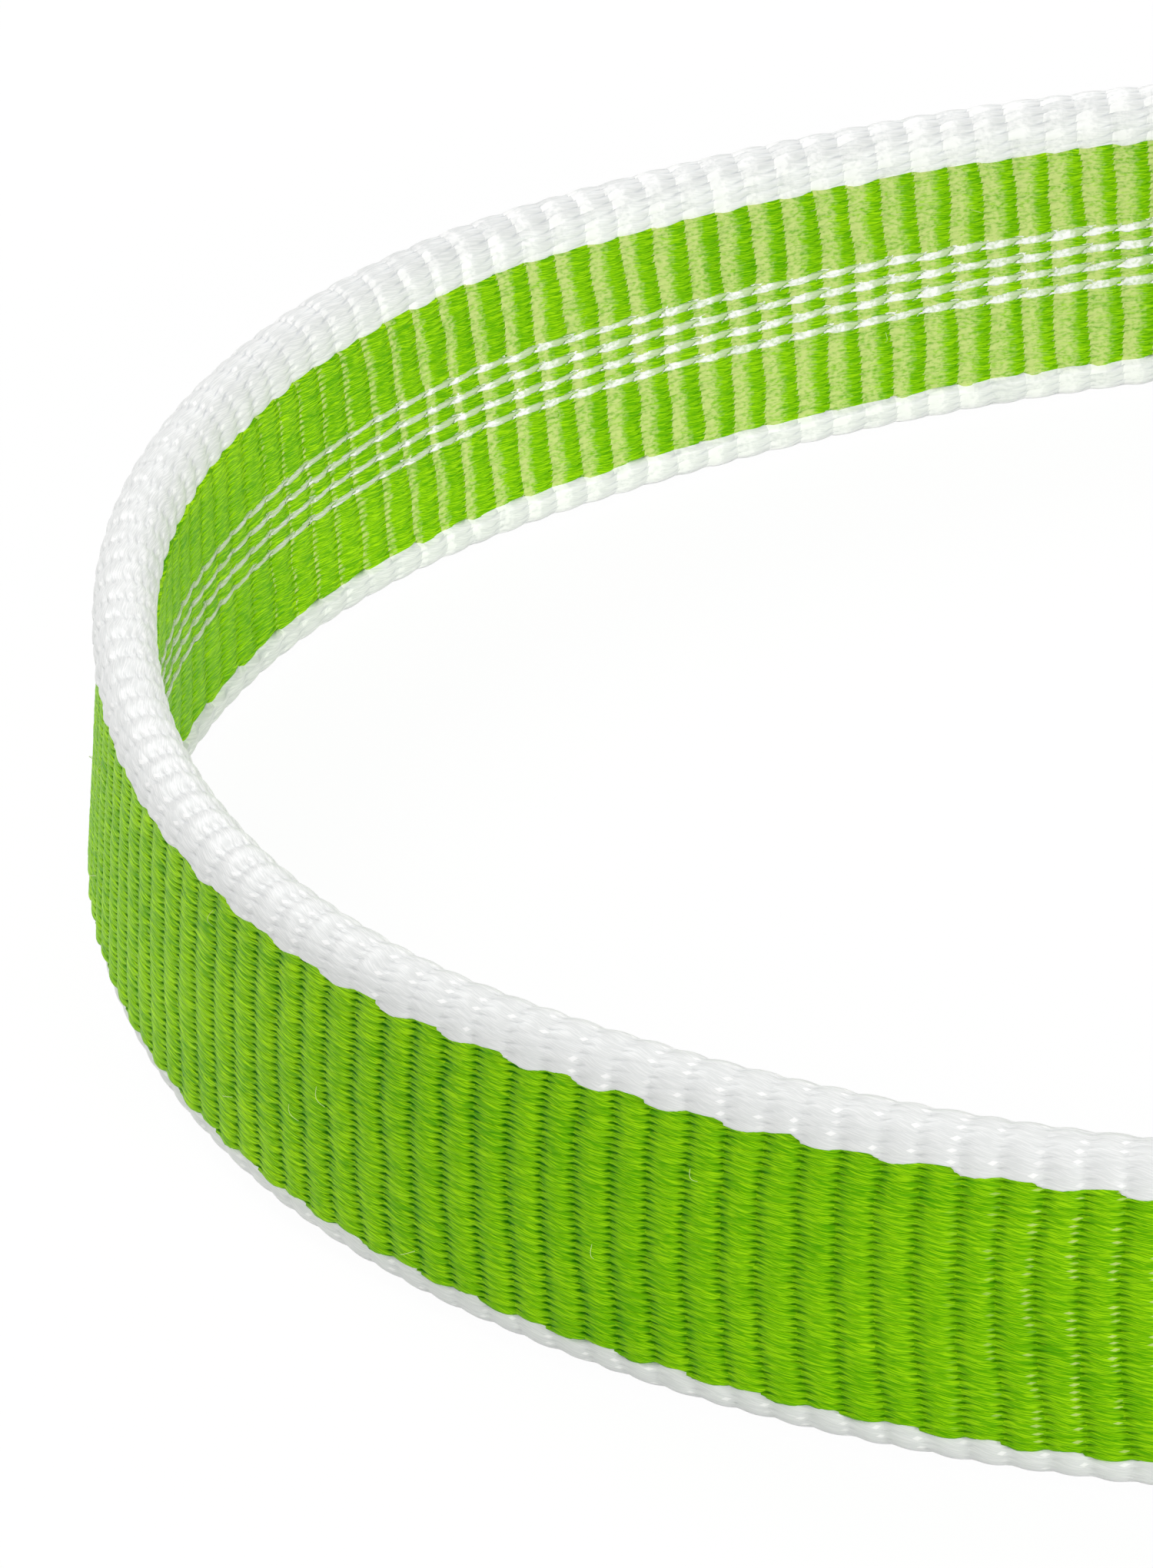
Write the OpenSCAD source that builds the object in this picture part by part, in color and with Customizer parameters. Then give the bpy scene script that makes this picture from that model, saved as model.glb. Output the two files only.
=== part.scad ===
// Short sewn sling: one strip of tubular webbing, closed by a lap with five bar tacks.
// The loop stands on its lower edge. The long axis is X, the tight bend points to -X,
// and the lap lies in the side that faces -Y.

/* [Webbing] */
// Width of the webbing over both edges
web_w = 16; // [14:0.5:20]
// Thickness of the flattened tube, face to face
web_t = 2.7; // [2.4:0.1:3.2]
// Space between the two layers of the flattened tube
tube_gap = 0.1; // [0.05:0.05:0.2]
// Width of each rolled edge
edge_w = 1.8; // [1.6:0.05:2.2]
// Thickness of each rolled edge
edge_t = 2.6; // [2.5:0.05:3.2]
// Diameter of the filler cord inside each rolled edge
filler_d = 1; // [0.8:0.05:1.1]
// Clearance round the filler cord
filler_clear = 0.05; // [0.02:0.01:0.1]
// Depth to which the lower edge is pressed flat where the sling stands
rest_flat = 0.25; // [0.15:0.05:0.35]

/* [Tracer threads] */
// Width of a tracer thread on the inner face
tracer_w = 0.37; // [0.3:0.01:0.5]
// Depth of a tracer thread in the inner layer
tracer_depth = 0.3; // [0.2:0.05:0.5]
// Distance from one tracer thread to the next
tracer_pitch = 1; // [0.8:0.05:1.2]

/* [Loop] */
// Length once round the loop, along the middle of the webbing
loop_len = 600; // [580:10:800]
// Radius of the tight bend at its tip
tip_r = 34; // [30:1:38]
// Radius of the tight bend beside its tip, towards the lap side
lap_side_r = 45; // [40:1:50]
// Radius where the tight bend runs out, towards the lap side
lap_side_runout_r = 74; // [66:1:82]
// Radius where the tight bend runs out, towards the plain side
plain_side_runout_r = 85; // [75:1:95]
// Radius of the two long sides where they bow outwards
side_r = 250; // [200:10:300]
// Radius of the shoulders of the wide bend
shoulder_r = 75; // [65:1:85]

/* [Splice] */
// Length of the lap where the two ends lie on each other
lap_len = 75; // [72:1:90]
// Space between the two plies of the lap
lap_gap = 0.15; // [0.1:0.05:0.3]
// Distance from the end of the lap to the middle of the first bar tack
tack_margin = 9.5; // [7:0.5:12]
// Distance from one bar tack to the next
tack_pitch = 14; // [10:0.5:15]
// Length of a bar tack across the webbing
tack_len = 11; // [9:0.5:12]
// Width of a bar tack along the webbing
tack_w = 2.2; // [1.6:0.1:3]
// Height of a bar tack above the face
tack_h = 0.5; // [0.3:0.05:0.8]
// Clearance between a leg of stitches and the tracer threads that it passes between
leg_clear = 0.05; // [0.02:0.01:0.1]

/* [Hidden] */
$fn = 48;

tracer_count = 4;
tack_count = 5;
leg_count = 5;

// Largest turn, in degrees, from one ring of a swept piece to the next.
ring_turn = 5;
// Sides of a quarter of a rolled edge's round, and of a filler cord.
quarter_sides = 4;
filler_sides = 8;
// How far a cut reaches past the face that it opens.
past = 1;

// The section of the webbing has x outwards from the loop and y up, from the middle of the tube.
face_h = web_w - 2 * edge_w;
round_mid = web_w / 2 - edge_t / 2;
filler_mid = face_h / 2 + filler_clear + filler_d / 2;
lift = web_w / 2 - rest_flat;

// The legs of stitches go through the webbing midway between tracer threads.
leg_w = tracer_pitch - tracer_w - 2 * leg_clear;
leg_pitch = 2 * tracer_pitch;

// Headings turned through, in degrees, along the tight bend and at a shoulder of the wide one.
side_turn = 9;
plain_runout_turn = 22.5;
tip_turn = 63.5;
lap_side_turn = 52.5;
lap_runout_turn = 180 - 2 * side_turn - plain_runout_turn - tip_turn - lap_side_turn;
shoulder_turn = 40;

// A step of the route is a turn, [degrees, radius], or a straight run, [0, length].
tight_bend = [
    [side_turn, side_r],
    [plain_runout_turn, plain_side_runout_r],
    [tip_turn, tip_r],
    [lap_side_turn, lap_side_r],
    [lap_runout_turn, lap_side_runout_r],
    [side_turn, side_r],
];

// The wide bend closes the loop, so that the end ply lies one thickness inside the first.
ply_step = max(web_t, edge_t) + lap_gap;
wide_span = ply_step - travel(tight_bend, 180)[1];
wide_r = (wide_span - 2 * shoulder_r * (1 - cos(shoulder_turn))) / (2 * cos(shoulder_turn));
wide_bend = [[shoulder_turn, shoulder_r], [180 - 2 * shoulder_turn, wide_r], [shoulder_turn, shoulder_r]];

// The straight runs take up what is left of the loop's length.
bend_shift = travel(tight_bend, 180)[0];
plain_run = (loop_len - total(tight_bend) - total(wide_bend) + bend_shift) / 2;
lap_side_run = plain_run - bend_shift - lap_len;
route = concat(
    [[0, lap_len]], wide_bend, [[0, plain_run]], tight_bend, [[0, lap_side_run + lap_len]]
);

// The middle of the loop: halfway between its tips in X, and in Y between what stands out
// most on the plain side and on the lap side, where that can be the bar tacks.
wide_tip_x = lap_len + shoulder_r * sin(shoulder_turn) + wide_r * (1 - sin(shoulder_turn));
tight_tip_x = lap_len - plain_run - side_r * sin(side_turn)
    - plain_side_runout_r * (sin(side_turn + plain_runout_turn) - sin(side_turn))
    - tip_r * (1 - sin(side_turn + plain_runout_turn));
lap_stand_out = max(edge_t / 2, web_t / 2 + tack_h);
plain_stand_out = max(edge_t, web_t) / 2;
middle = [(wide_tip_x + tight_tip_x) / 2, (wide_span + plain_stand_out - lap_stand_out) / 2];

// Length of one step of the route, and of a list of them.
function step_len(step) = step[0] == 0 ? step[1] : step[1] * step[0] * PI / 180;
function total(steps, i = 0) = i == len(steps) ? 0 : step_len(steps[i]) + total(steps, i + 1);

// Movement over the first part of a step, and over a list of steps from the i-th on.
function step_move(step, heading, part = 1) = step[0] == 0
    ? part * step[1] * [cos(heading), sin(heading)]
    : let (end = heading + part * step[0])
        step[1] * [sin(end) - sin(heading), cos(heading) - cos(end)];
function travel(steps, heading, i = 0) = i == len(steps)
    ? [0, 0]
    : step_move(steps[i], heading) + travel(steps, heading + steps[i][0], i + 1);

// Rings along the route, each [x, y, heading], from a start place and the i-th step on.
function rings_from(place, heading, i = 0) = i == len(route)
    ? [[place[0], place[1], heading]]
    : let (step = route[i], count = max(1, ceil(step[0] / ring_turn)))
        concat(
            [for (k = [0:count - 1])
                let (at = place + step_move(step, heading, k / count))
                    [at[0], at[1], heading + step[0] * k / count]],
            rings_from(place + step_move(step, heading), heading + step[0], i + 1)
        );
rings = rings_from(-middle, 0);

// The place beside a ring, so far outwards from the loop.
function beside(ring, out) = [ring[0] + out * sin(ring[2]), ring[1] - out * cos(ring[2])];

// A wall that stands along the whole route, between two depths in the section.
module wall(from, to, height, mid = 0) {
    last = len(rings) - 1;
    translate([0, 0, lift + mid - height / 2])
        linear_extrude(height)
            polygon(concat(
                [for (i = [0:last]) beside(rings[i], to)],
                [for (i = [last:-1:0]) beside(rings[i], from)]
            ));
}

// Sweeps a section, an even number of points in clockwise order, along the whole route as
// one solid. Each end is closed by strips from the first half of the points to the second.
module sweep(section) {
    sides = len(section);
    last = len(rings) - 1;
    points = [for (ring = rings) for (p = section) concat(beside(ring, p[0]), lift + p[1])];
    sleeve = [for (i = [0:last - 1]) for (j = [0:sides - 1])
        let (a = i * sides + j, b = i * sides + (j + 1) % sides)
            each [[a, b, b + sides], [a, b + sides, a + sides]]];
    start = [for (j = [0:sides / 2 - 2])
        let (a = j, b = j + 1, c = sides - 2 - j, d = sides - 1 - j)
            each [[c, b, a], [d, c, a]]];
    end = [for (j = [0:sides / 2 - 2])
        let (a = last * sides + j, b = a + 1, d = last * sides + sides - 1 - j, c = d - 1)
            each [[a, b, c], [a, c, d]]];
    polyhedron(points, concat(sleeve, start, end), convexity = 4);
}

// Outline of the upper rolled edge, from its inner foot over the top to its outer foot:
// straight beside the face and round on top, with the round pressed flat to a depth.
function edge_outline(flat) =
    let (r = edge_t / 2, turn = asin((r - flat) / r) / quarter_sides)
    concat(
        [[-r, face_h / 2]],
        [for (k = [0:quarter_sides]) [-r * cos(k * turn), round_mid + r * sin(k * turn)]],
        [for (k = [quarter_sides - (flat > 0 ? 0 : 1):-1:0])
            [r * cos(k * turn), round_mid + r * sin(k * turn)]],
        [[r, face_h / 2]]
    );

// Channel under the rolled edge for its filler cord, from its outer foot to its inner foot.
function channel_outline(count) =
    let (r = filler_d / 2 + filler_clear, turn = 180 / (count - 3))
    concat(
        [[r, face_h / 2]],
        [for (k = [0:count - 3]) [r * cos(k * turn), filler_mid + r * sin(k * turn)]],
        [[-r, face_h / 2]]
    );

// Section of the upper rolled edge: its outline, and back along the channel.
function edge_section(flat = 0) =
    let (outline = edge_outline(flat))
    concat(outline, channel_outline(len(outline)));

// Section of the filler cord in the upper edge.
function filler_section() = [for (k = [0:filler_sides - 1])
    let (a = -360 * (k + 0.5) / filler_sides)
        [filler_d / 2 * cos(a), filler_mid + filler_d / 2 * sin(a)]];

// The same section for the lower edge: mirrored, and kept in clockwise order.
function lowered(section) = [for (i = [len(section) - 1:-1:0]) [section[i][0], -section[i][1]]];

// Height of a tracer thread's middle in the section.
function tracer_mid(i) = (i - (tracer_count + 1) / 2) * tracer_pitch;

// Places children in the middle of a bar tack on the first ply: x along the webbing,
// y inwards through the plies and z up.
module at_tack(i) {
    translate([tack_margin + (i - 1) * tack_pitch - middle[0], -middle[1], lift])
        children();
}

// The legs of stitches of one bar tack, through both plies and so far beyond them.
module tack_legs(i, beyond = 0) {
    at_tack(i)
        for (k = [1:leg_count])
            translate([
                -leg_w / 2,
                -web_t / 2 - beyond,
                (k - (leg_count + 1) / 2) * leg_pitch - leg_w / 2,
            ])
                cube([leg_w, web_t + ply_step + 2 * beyond, leg_w]);
}

// The satin pad of stitches on a face: a bar with round ends, standing along z.
module tack_pad() {
    rotate([90, 0, 0])
        linear_extrude(tack_h)
            union() {
                square([tack_w, tack_len - tack_w], center = true);
                for (end = [-1, 1])
                    translate([0, end * (tack_len - tack_w) / 2])
                        circle(d = tack_w);
            }
}

module outer_layer() {
    color("limegreen")
        difference() {
            wall(tube_gap / 2, web_t / 2, face_h);
            for (i = [1:tack_count])
                tack_legs(i, past);
        }
}

module inner_layer() {
    color("yellowgreen")
        difference() {
            wall(-web_t / 2, -tube_gap / 2, face_h);
            for (i = [1:tracer_count])
                wall(-web_t / 2 - past, -web_t / 2 + tracer_depth, tracer_w, tracer_mid(i));
            for (i = [1:tack_count])
                tack_legs(i, past);
        }
}

module upper_edge() {
    color("white")
        sweep(edge_section());
}

module lower_edge() {
    color("white")
        sweep(lowered(edge_section(rest_flat)));
}

module upper_filler() {
    color("gainsboro")
        sweep(filler_section());
}

module lower_filler() {
    color("gainsboro")
        sweep(lowered(filler_section()));
}

module tracer_thread(i) {
    color("whitesmoke")
        wall(-web_t / 2, -web_t / 2 + tracer_depth, tracer_w, tracer_mid(i));
}

module bar_tack(i) {
    color("lavender") {
        tack_legs(i);
        at_tack(i) {
            translate([0, -web_t / 2, 0])
                tack_pad();
            translate([0, web_t / 2 + ply_step + tack_h, 0])
                tack_pad();
        }
    }
}

outer_layer();
inner_layer();
upper_edge();
lower_edge();
upper_filler();
lower_filler();
for (i = [1:tracer_count])
    tracer_thread(i);
for (i = [1:tack_count])
    bar_tack(i);
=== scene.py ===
"""Looks of a sewn sling: a loop of tubular webbing that stands on its edge, closed by a lap.

Everything is in metres and in the row frame. The route of the webbing is worked out once;
each woven piece is a closed section swept along a stretch of it, with the weave as relief.
"""
import math

import bmesh
import bpy
import numpy as np
from mathutils import Matrix, Vector


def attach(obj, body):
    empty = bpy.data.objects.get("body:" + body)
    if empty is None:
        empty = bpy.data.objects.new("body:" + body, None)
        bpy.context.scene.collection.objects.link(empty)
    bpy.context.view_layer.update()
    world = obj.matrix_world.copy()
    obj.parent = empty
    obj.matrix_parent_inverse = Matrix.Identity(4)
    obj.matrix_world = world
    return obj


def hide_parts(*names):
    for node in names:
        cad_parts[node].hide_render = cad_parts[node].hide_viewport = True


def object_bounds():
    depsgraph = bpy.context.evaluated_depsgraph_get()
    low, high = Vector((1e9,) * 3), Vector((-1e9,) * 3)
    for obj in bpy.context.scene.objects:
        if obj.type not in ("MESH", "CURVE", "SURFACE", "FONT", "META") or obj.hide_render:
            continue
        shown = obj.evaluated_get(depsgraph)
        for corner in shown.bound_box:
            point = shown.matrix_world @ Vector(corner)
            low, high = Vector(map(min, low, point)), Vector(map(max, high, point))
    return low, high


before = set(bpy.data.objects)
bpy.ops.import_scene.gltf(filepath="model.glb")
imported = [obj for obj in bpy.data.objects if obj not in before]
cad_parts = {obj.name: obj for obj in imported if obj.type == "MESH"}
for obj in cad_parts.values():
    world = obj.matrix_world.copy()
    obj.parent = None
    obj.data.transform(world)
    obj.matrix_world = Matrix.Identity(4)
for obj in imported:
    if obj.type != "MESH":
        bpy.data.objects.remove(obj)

bl_info = {
    "name": "Sewn sling",
    "version": (1, 0, 0),
    "blender": (4, 5, 0),
    "location": "3D View > Sidebar > Sling",
    "description": "Builds a sewn sling of woven tubular webbing",
    "category": "Object",
}

MM = 0.001
CAD_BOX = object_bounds()

# Height of the picture and the camera's focal length, in pixels.
IMAGE_HEIGHT, FOCAL_LENGTH = 2040, 9896.923

# Ends of yarn round the tube, counted upwards over the outer face, over the upper edge, down
# the inner face and under the lower edge. The middle of the outer face is 0.
FACE_ENDS = 18.5
EDGE_ENDS = 11
SIDE_ENDS = 2 * FACE_ENDS + EDGE_ENDS

# Ends from one tracer thread to the next, how much wider than an end a tracer is, how much
# narrower it gets in the tight bend, and how far it stands out of the face.
TRACER_STEP = 3
TRACER_WIDTH = 1.38
TRACER_NARROW = 0.65
TRACER_PROUD = 0.07 * MM

# How many ends a border between two layers moves up and down by, from rib to rib, on the
# outer and on the inner side.
OUTER_STEP, INNER_STEP = 0.36, 0.14

# How many ends further down the upper edge reaches on the inner face than on the outer one.
INNER_DROP = 1.4

# Depth to which a layer's surface sinks past its border, under the next layer's, and over how
# many ends it does so.
SINK, SINK_ENDS = 0.5 * MM, 0.35

# How many ends past its last one a layer's border lies, and how many the sections of the faces
# and of the rolled edges go on, out of sight.
BORDER_LAP, FACE_LAP, EDGE_LAP = 0.25, 1.1, 0.9

# A float leans by so many ends to a rib at its crest, and curls so much more towards its tips.
LEAN_OF_FLOAT, CURL_OF_FLOAT = 0.25, 1.3

# Distances from its crest, in ribs, between which a float dives.
DIVE = (0.22, 0.54)

# How far the ribs drift along the strip, in ribs, and the ends wander across it, in ends, and
# how unlike the floats' heights are, in heights.
RIB_DRIFT, END_WANDER, SWELL = 0.38, 0.8, 0.35

# Stretches of the route, in metres, that are woven finely enough to be seen up close.
FINE_OUTER = (0.437, 0.5345)
FINE_INNER = (0.3935, 0.478)
FINE_EDGE = (0.3925, 0.536)

# Stations of the sweep to a rib, there and elsewhere.
FINE, COARSE = 8, 4

# How many tracer threads and bar tacks there are.
TRACERS, TACKS = 4, 5


# ---------------------------------------------------------------- settings


def length(name, description, millimetres, **more):
    return bpy.props.FloatProperty(
        name=name, description=description, default=millimetres * MM, unit="LENGTH",
        precision=5, **more)


def angle(name, description, degrees):
    return bpy.props.FloatProperty(
        name=name, description=description, default=math.radians(degrees), subtype="ANGLE")


def colour(name, description, rgb):
    return bpy.props.FloatVectorProperty(
        name=name, description=description, default=rgb, subtype="COLOR", size=3,
        min=0, max=1)


class LoopSettings(bpy.types.PropertyGroup):
    """Route of the webbing, the same as the CAD route"""

    loop_length: length("Loop length", "Length once round the loop", 600)
    tip_radius: length("Tip radius", "Radius of the tight bend at its tip", 34)
    lap_side_radius: length(
        "Lap side radius", "Radius of the tight bend beside its tip, towards the lap", 45)
    lap_side_runout: length(
        "Lap side run-out", "Radius where the tight bend runs out towards the lap", 74)
    plain_side_runout: length(
        "Plain side run-out", "Radius where the tight bend runs out on the plain side", 85)
    side_radius: length("Side radius", "Radius of the long sides", 250)
    shoulder_radius: length(
        "Shoulder radius", "Radius of the shoulders of the wide bend", 75)
    lap_length: length("Lap length", "Length of the sewn lap", 75)
    lap_step: length("Lap step", "Distance from the middle of one ply to the next", 2.85)
    lift: length("Lift", "Height of the webbing's middle above the floor", 7.75)


class WebbingSettings(bpy.types.PropertyGroup):
    """Sizes of the webbing and of its weave"""

    end_pitch: length("End pitch", "Distance from one float to the next across", 0.335)
    rib_pitch: length("Rib pitch", "Distance from one cross rib to the next", 1.695)
    first_rib: length("First rib", "Place of a rib's crest along the route", 395.07)
    face_depth: length("Face depth", "Distance from the middle to a face's valleys", 1.28)
    rib_height: length("Rib height", "Height of a rib over the crossing of the ends", 0.14)
    float_height: length("Float height", "Height of a float's round over its sides", 0.075)
    inner_rib_height: length("Inner rib height", "The same for a rib of the inner face", 0.055)
    edge_rib_height: length("Edge rib height", "The same for a rib of a rolled edge", 0.1)
    edge_float_height: length(
        "Edge float height", "The same for a float of a rolled edge", 0.07)
    gap: bpy.props.FloatProperty(
        name="Gap", description="Narrowing of a diving float, in end pitches", default=0.12)
    edge_gap: bpy.props.FloatProperty(
        name="Edge gap", description="The same for a float of a rolled edge", default=0.04)
    tracer_gap: bpy.props.FloatProperty(
        name="Tracer gap", description="The same for a tracer thread", default=0.33)
    bow: length("Bow", "How far the ribs of the outer face bow back at its middle", 0.45)
    edge_radius: length("Edge radius", "Radius of the rolled edges", 1.36)
    edge_middle: length("Edge middle", "Height of a rolled edge's middle", 6.6)
    edge_offset: length(
        "Edge offset", "How far the upper edge leans outwards and the lower one inwards", 0.26)
    half_thickness: length("Half thickness", "Half the thickness of the webbing", 1.35)
    tack_margin: length(
        "Tack margin", "From the end of the lap to the middle of the first bar tack", 9.5)
    tack_pitch: length("Tack pitch", "Distance from one bar tack to the next", 14)
    tack_length: length("Tack length", "Length of a bar tack across the webbing", 11)
    tack_width: length("Tack width", "Width of a bar tack along the webbing", 2.2)
    tack_height: length("Tack height", "Height of a bar tack above the face", 0.5)
    stitch_pitch: length("Stitch pitch", "Distance from one stitch to the next", 0.26)


class YarnSettings(bpy.types.PropertyGroup):
    """Colours of the yarns"""

    face: colour("Face", "Yarn of the two faces", (0.089, 0.362, 0.0005))
    # Brighter strands of the face yarn, which also make a painted sheen where the strip bends.
    face_strands_and_sheen: colour("Bright face", "Brighter strands of it", (0.46, 0.85, 0.006))
    face_pale: colour("Pale face", "Face yarn where it catches the light", (0.57, 0.69, 0.225))
    # Painted shade deep between the floats of the faces; also the dark green of the melted end.
    face_shade_and_melt: colour("Face crease", "Face yarn deep between the floats", (0.012, 0.15, 0.0))
    edge: colour("Edge", "Yarn of the rolled edges", (0.72, 0.735, 0.725))
    # Brighter strands of the edge yarn, which also make a painted sheen where the strip bends.
    edge_strands_and_sheen: colour("Bright edge", "Brighter strands of it", (0.87, 0.875, 0.865))
    edge_pale: colour("Pale edge", "White yarn where it catches the light", (0.94, 0.94, 0.93))
    # Painted shade deep between the floats of the rolled edges; also the white of the melted
    # end.
    edge_crease: colour("Edge crease", "Edge yarn deep between the floats", (0.56, 0.58, 0.6))
    tracer: colour("Tracer", "Yarn of the tracer threads", (0.42, 0.58, 0.24))
    # Painted shade where the tracer yarn dives between the floats.
    tracer_shade: colour("Tracer crease", "Tracer yarn where it dives", (0.24, 0.42, 0.12))
    sewing: colour("Sewing", "Thread of the bar tacks", (0.8, 0.82, 0.84))
    hair: colour("Loose filament", "Single loose filaments", (0.6, 0.78, 0.3))


class CameraSettings(bpy.types.PropertyGroup):
    """Place and lens of the camera"""

    place: bpy.props.FloatVectorProperty(
        name="Place", description="Where the camera stands", subtype="TRANSLATION", size=3,
        default=(-0.065277, -0.284544, 0.19297))
    heading: angle("Heading", "Direction that it looks in, from +X towards +Y", 97.945)
    down: angle("Down", "How far it looks down from the horizon", 33.118)
    roll: angle("Roll", "Turn about its own axis", 5.074)
    focal: bpy.props.FloatProperty(
        name="Focal length", description="Focal length in image heights",
        default=FOCAL_LENGTH / IMAGE_HEIGHT)


# ---------------------------------------------------------------- nodes and their maths


def method_of(operation, reflected=False):
    """A method that adds a Math node, with its two values the other way round if reflected."""
    def method(self, other):
        values = (other, self) if reflected else (self, other)
        return self.nodes.maths(operation, *values)

    return method


class Value:
    """A node's output that Python's operators work on, in a shader or geometry tree."""

    def __init__(self, nodes, socket):
        self.nodes, self.socket = nodes, socket

    __add__ = __radd__ = method_of("ADD")
    __sub__, __rsub__ = method_of("SUBTRACT"), method_of("SUBTRACT", True)
    __mul__ = __rmul__ = method_of("MULTIPLY")
    __truediv__, __rtruediv__ = method_of("DIVIDE"), method_of("DIVIDE", True)
    __pow__, __rpow__ = method_of("POWER"), method_of("POWER", True)
    __gt__, __lt__ = method_of("GREATER_THAN"), method_of("LESS_THAN")

    def __abs__(self):
        return self.nodes.maths("ABSOLUTE", self)


class Nodes:
    """Adds nodes to a tree."""

    def __init__(self, tree):
        self.tree = tree
        tree.nodes.clear()

    def add(self, kind, settings=None, inputs=None, output=0):
        """A node of that type, its settings made first, then its sockets; gives one output."""
        node = self.tree.nodes.new(kind)
        for name, value in (settings or {}).items():
            setattr(node, name, value)
        for name, value in (inputs or {}).items():
            if isinstance(value, Value):
                self.tree.links.new(value.socket, node.inputs[name])
            else:
                node.inputs[name].default_value = value
        return Value(self, node.outputs[output]) if len(node.outputs) else node

    def maths(self, operation, *values):
        return self.add("ShaderNodeMath", {"operation": operation}, dict(enumerate(values)))

    def vector(self, x, y, z=0.0):
        return self.add("ShaderNodeCombineXYZ", None, {0: x, 1: y, 2: z})

    def parts(self, vector):
        """The vector's x, y and z."""
        x = self.add("ShaderNodeSeparateXYZ", None, {0: vector})
        return [Value(self, output) for output in x.socket.node.outputs]

    def object_place(self):
        return self.add("ShaderNodeTexCoord", None, None, "Object")

    def smooth(self, value, low, high):
        """0 below low, 1 above high and a smooth step between them."""
        return self.add("ShaderNodeMapRange", {"interpolation_type": "SMOOTHSTEP"}, {
            "Value": value, "From Min": low, "From Max": high})

    def mix(self, factor, a, b):
        """A colour between a and b."""
        return self.add("ShaderNodeMix", {"data_type": "RGBA"}, {
            "Factor": factor, 6: a, 7: b}, output=2)

    def pick(self, which, a, b):
        """a where which is 0 and b where it is 1."""
        return a + which * (b - a)

    def white(self, vector):
        """A random number from 0 to 1 for each value of the vector."""
        return self.add("ShaderNodeTexWhiteNoise", {"noise_dimensions": "3D"}, {
            "Vector": vector})

    def noise(self, vector, scale=1.0, detail=2.0):
        """Smooth noise about 0.5."""
        return self.add("ShaderNodeTexNoise", None, {
            "Vector": vector, "Scale": scale, "Detail": detail})


def sideways(from_crest):
    """How many ends a float has moved upwards by, so far in ribs from its crest."""
    return from_crest * (LEAN_OF_FLOAT + CURL_OF_FLOAT * from_crest * from_crest)


def weave(nodes, rib, across, rib_height, float_height, gap, stagger=0.5, only=0, all_=1):
    """Relief of a warp-faced plain weave, over its crossings.

    Whole ends float over even ribs, and those staggered from them over odd ribs. A float is
    flat and as wide as the end pitch on its rib's crest, and round and narrower by the gap
    where it dives, so that a wedge is open beside it. Where all_ is 0, only the end of that
    number is raised. Gives the ribs' relief, the floats' relief, the end's number, the place
    across the float from -1 to 1 and the distance from its crest in ribs.
    """
    # How round a float is on its crest, how steep its sides are and how far out they go on.
    crest_round, side_steepness, side_reach = 0.3, 3, 0.5
    best = None
    for odd in (0, 1):
        from_crest = nodes.maths("FLOORED_MODULO", rib + (1 - odd), 2) - 1
        place = across - sideways(from_crest) - stagger * odd
        end = nodes.maths("ROUND", place)
        diving = nodes.smooth(abs(from_crest), *DIVE)
        beside = (place - end) / (0.5 - gap * diving)
        inside = nodes.maths("MAXIMUM", 1 - beside * beside, 0)
        past = nodes.maths("MINIMUM", nodes.maths("MAXIMUM", abs(beside) - 1, 0), side_reach)
        other = nodes.maths("MINIMUM", abs(end - only), 1) * (1 - all_)
        ribs = rib_height * nodes.maths("COSINE", from_crest * math.pi) - SINK * other
        floats = float_height * (
            (crest_round + (1 - crest_round) * diving) * (inside ** 0.5 - 1)
            - side_steepness * past)
        this = ribs, floats, end + stagger * odd, beside, from_crest
        if best is None:
            best = this
        else:
            front = ribs + floats > best[0] + best[1]
            best = tuple(nodes.pick(front, old, new) for old, new in zip(best, this))
    return best


def border(nodes, rib, first, step):
    """How many ends the border between two layers is moved up by: it rises slowly over two
    ribs and drops back at the valley at that rib, and at every second one after it."""
    turn = nodes.maths("FRACT", (rib - first) / 2)
    risen, dropped = nodes.smooth(turn, 0.12, 0.86), nodes.smooth(turn, 0.87, 1.0)
    return step * (2 * risen - 2 * dropped - 1)


# ---------------------------------------------------------------- the route


def route_steps(loop):
    """Steps of the route, each a turn, (degrees, radius), or a straight run, (0, length)."""
    side, runout, tip, lap_side = 9, 22.5, 63.5, 52.5
    tight = [
        (side, loop.side_radius), (runout, loop.plain_side_runout), (tip, loop.tip_radius),
        (lap_side, loop.lap_side_radius),
        (180 - 2 * side - runout - tip - lap_side, loop.lap_side_runout),
        (side, loop.side_radius),
    ]
    shoulder = 40
    bend = travel(tight, 180)
    span = loop.lap_step - bend[1]
    wide_radius = (span - 2 * loop.shoulder_radius * (1 - cos_deg(shoulder))) / (
        2 * cos_deg(shoulder))
    wide = [(shoulder, loop.shoulder_radius), (180 - 2 * shoulder, wide_radius),
            (shoulder, loop.shoulder_radius)]
    plain_run = (loop.loop_length - run_length(tight) - run_length(wide) + bend[0]) / 2
    lap_side_run = plain_run - bend[0] - loop.lap_length
    return ([(0, loop.lap_length)] + wide + [(0, plain_run)] + tight
            + [(0, lap_side_run + loop.lap_length)])


def cos_deg(degrees):
    return math.cos(math.radians(degrees))


def step_length(step):
    return step[1] * (math.radians(step[0]) if step[0] else 1)


def run_length(steps):
    return sum(step_length(step) for step in steps)


def step_move(step, heading, part=1.0):
    """Movement over the first part of a step that starts at that heading."""
    start, end = math.radians(heading), math.radians(heading + part * step[0])
    if step[0] == 0:
        return part * step[1] * np.array([math.cos(start), math.sin(start)])
    return step[1] * np.array(
        [math.sin(end) - math.sin(start), math.cos(start) - math.cos(end)])


def travel(steps, heading):
    """Movement over a list of steps."""
    move = np.zeros(2)
    for step in steps:
        move = move + step_move(step, heading)
        heading += step[0]
    return move


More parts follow.
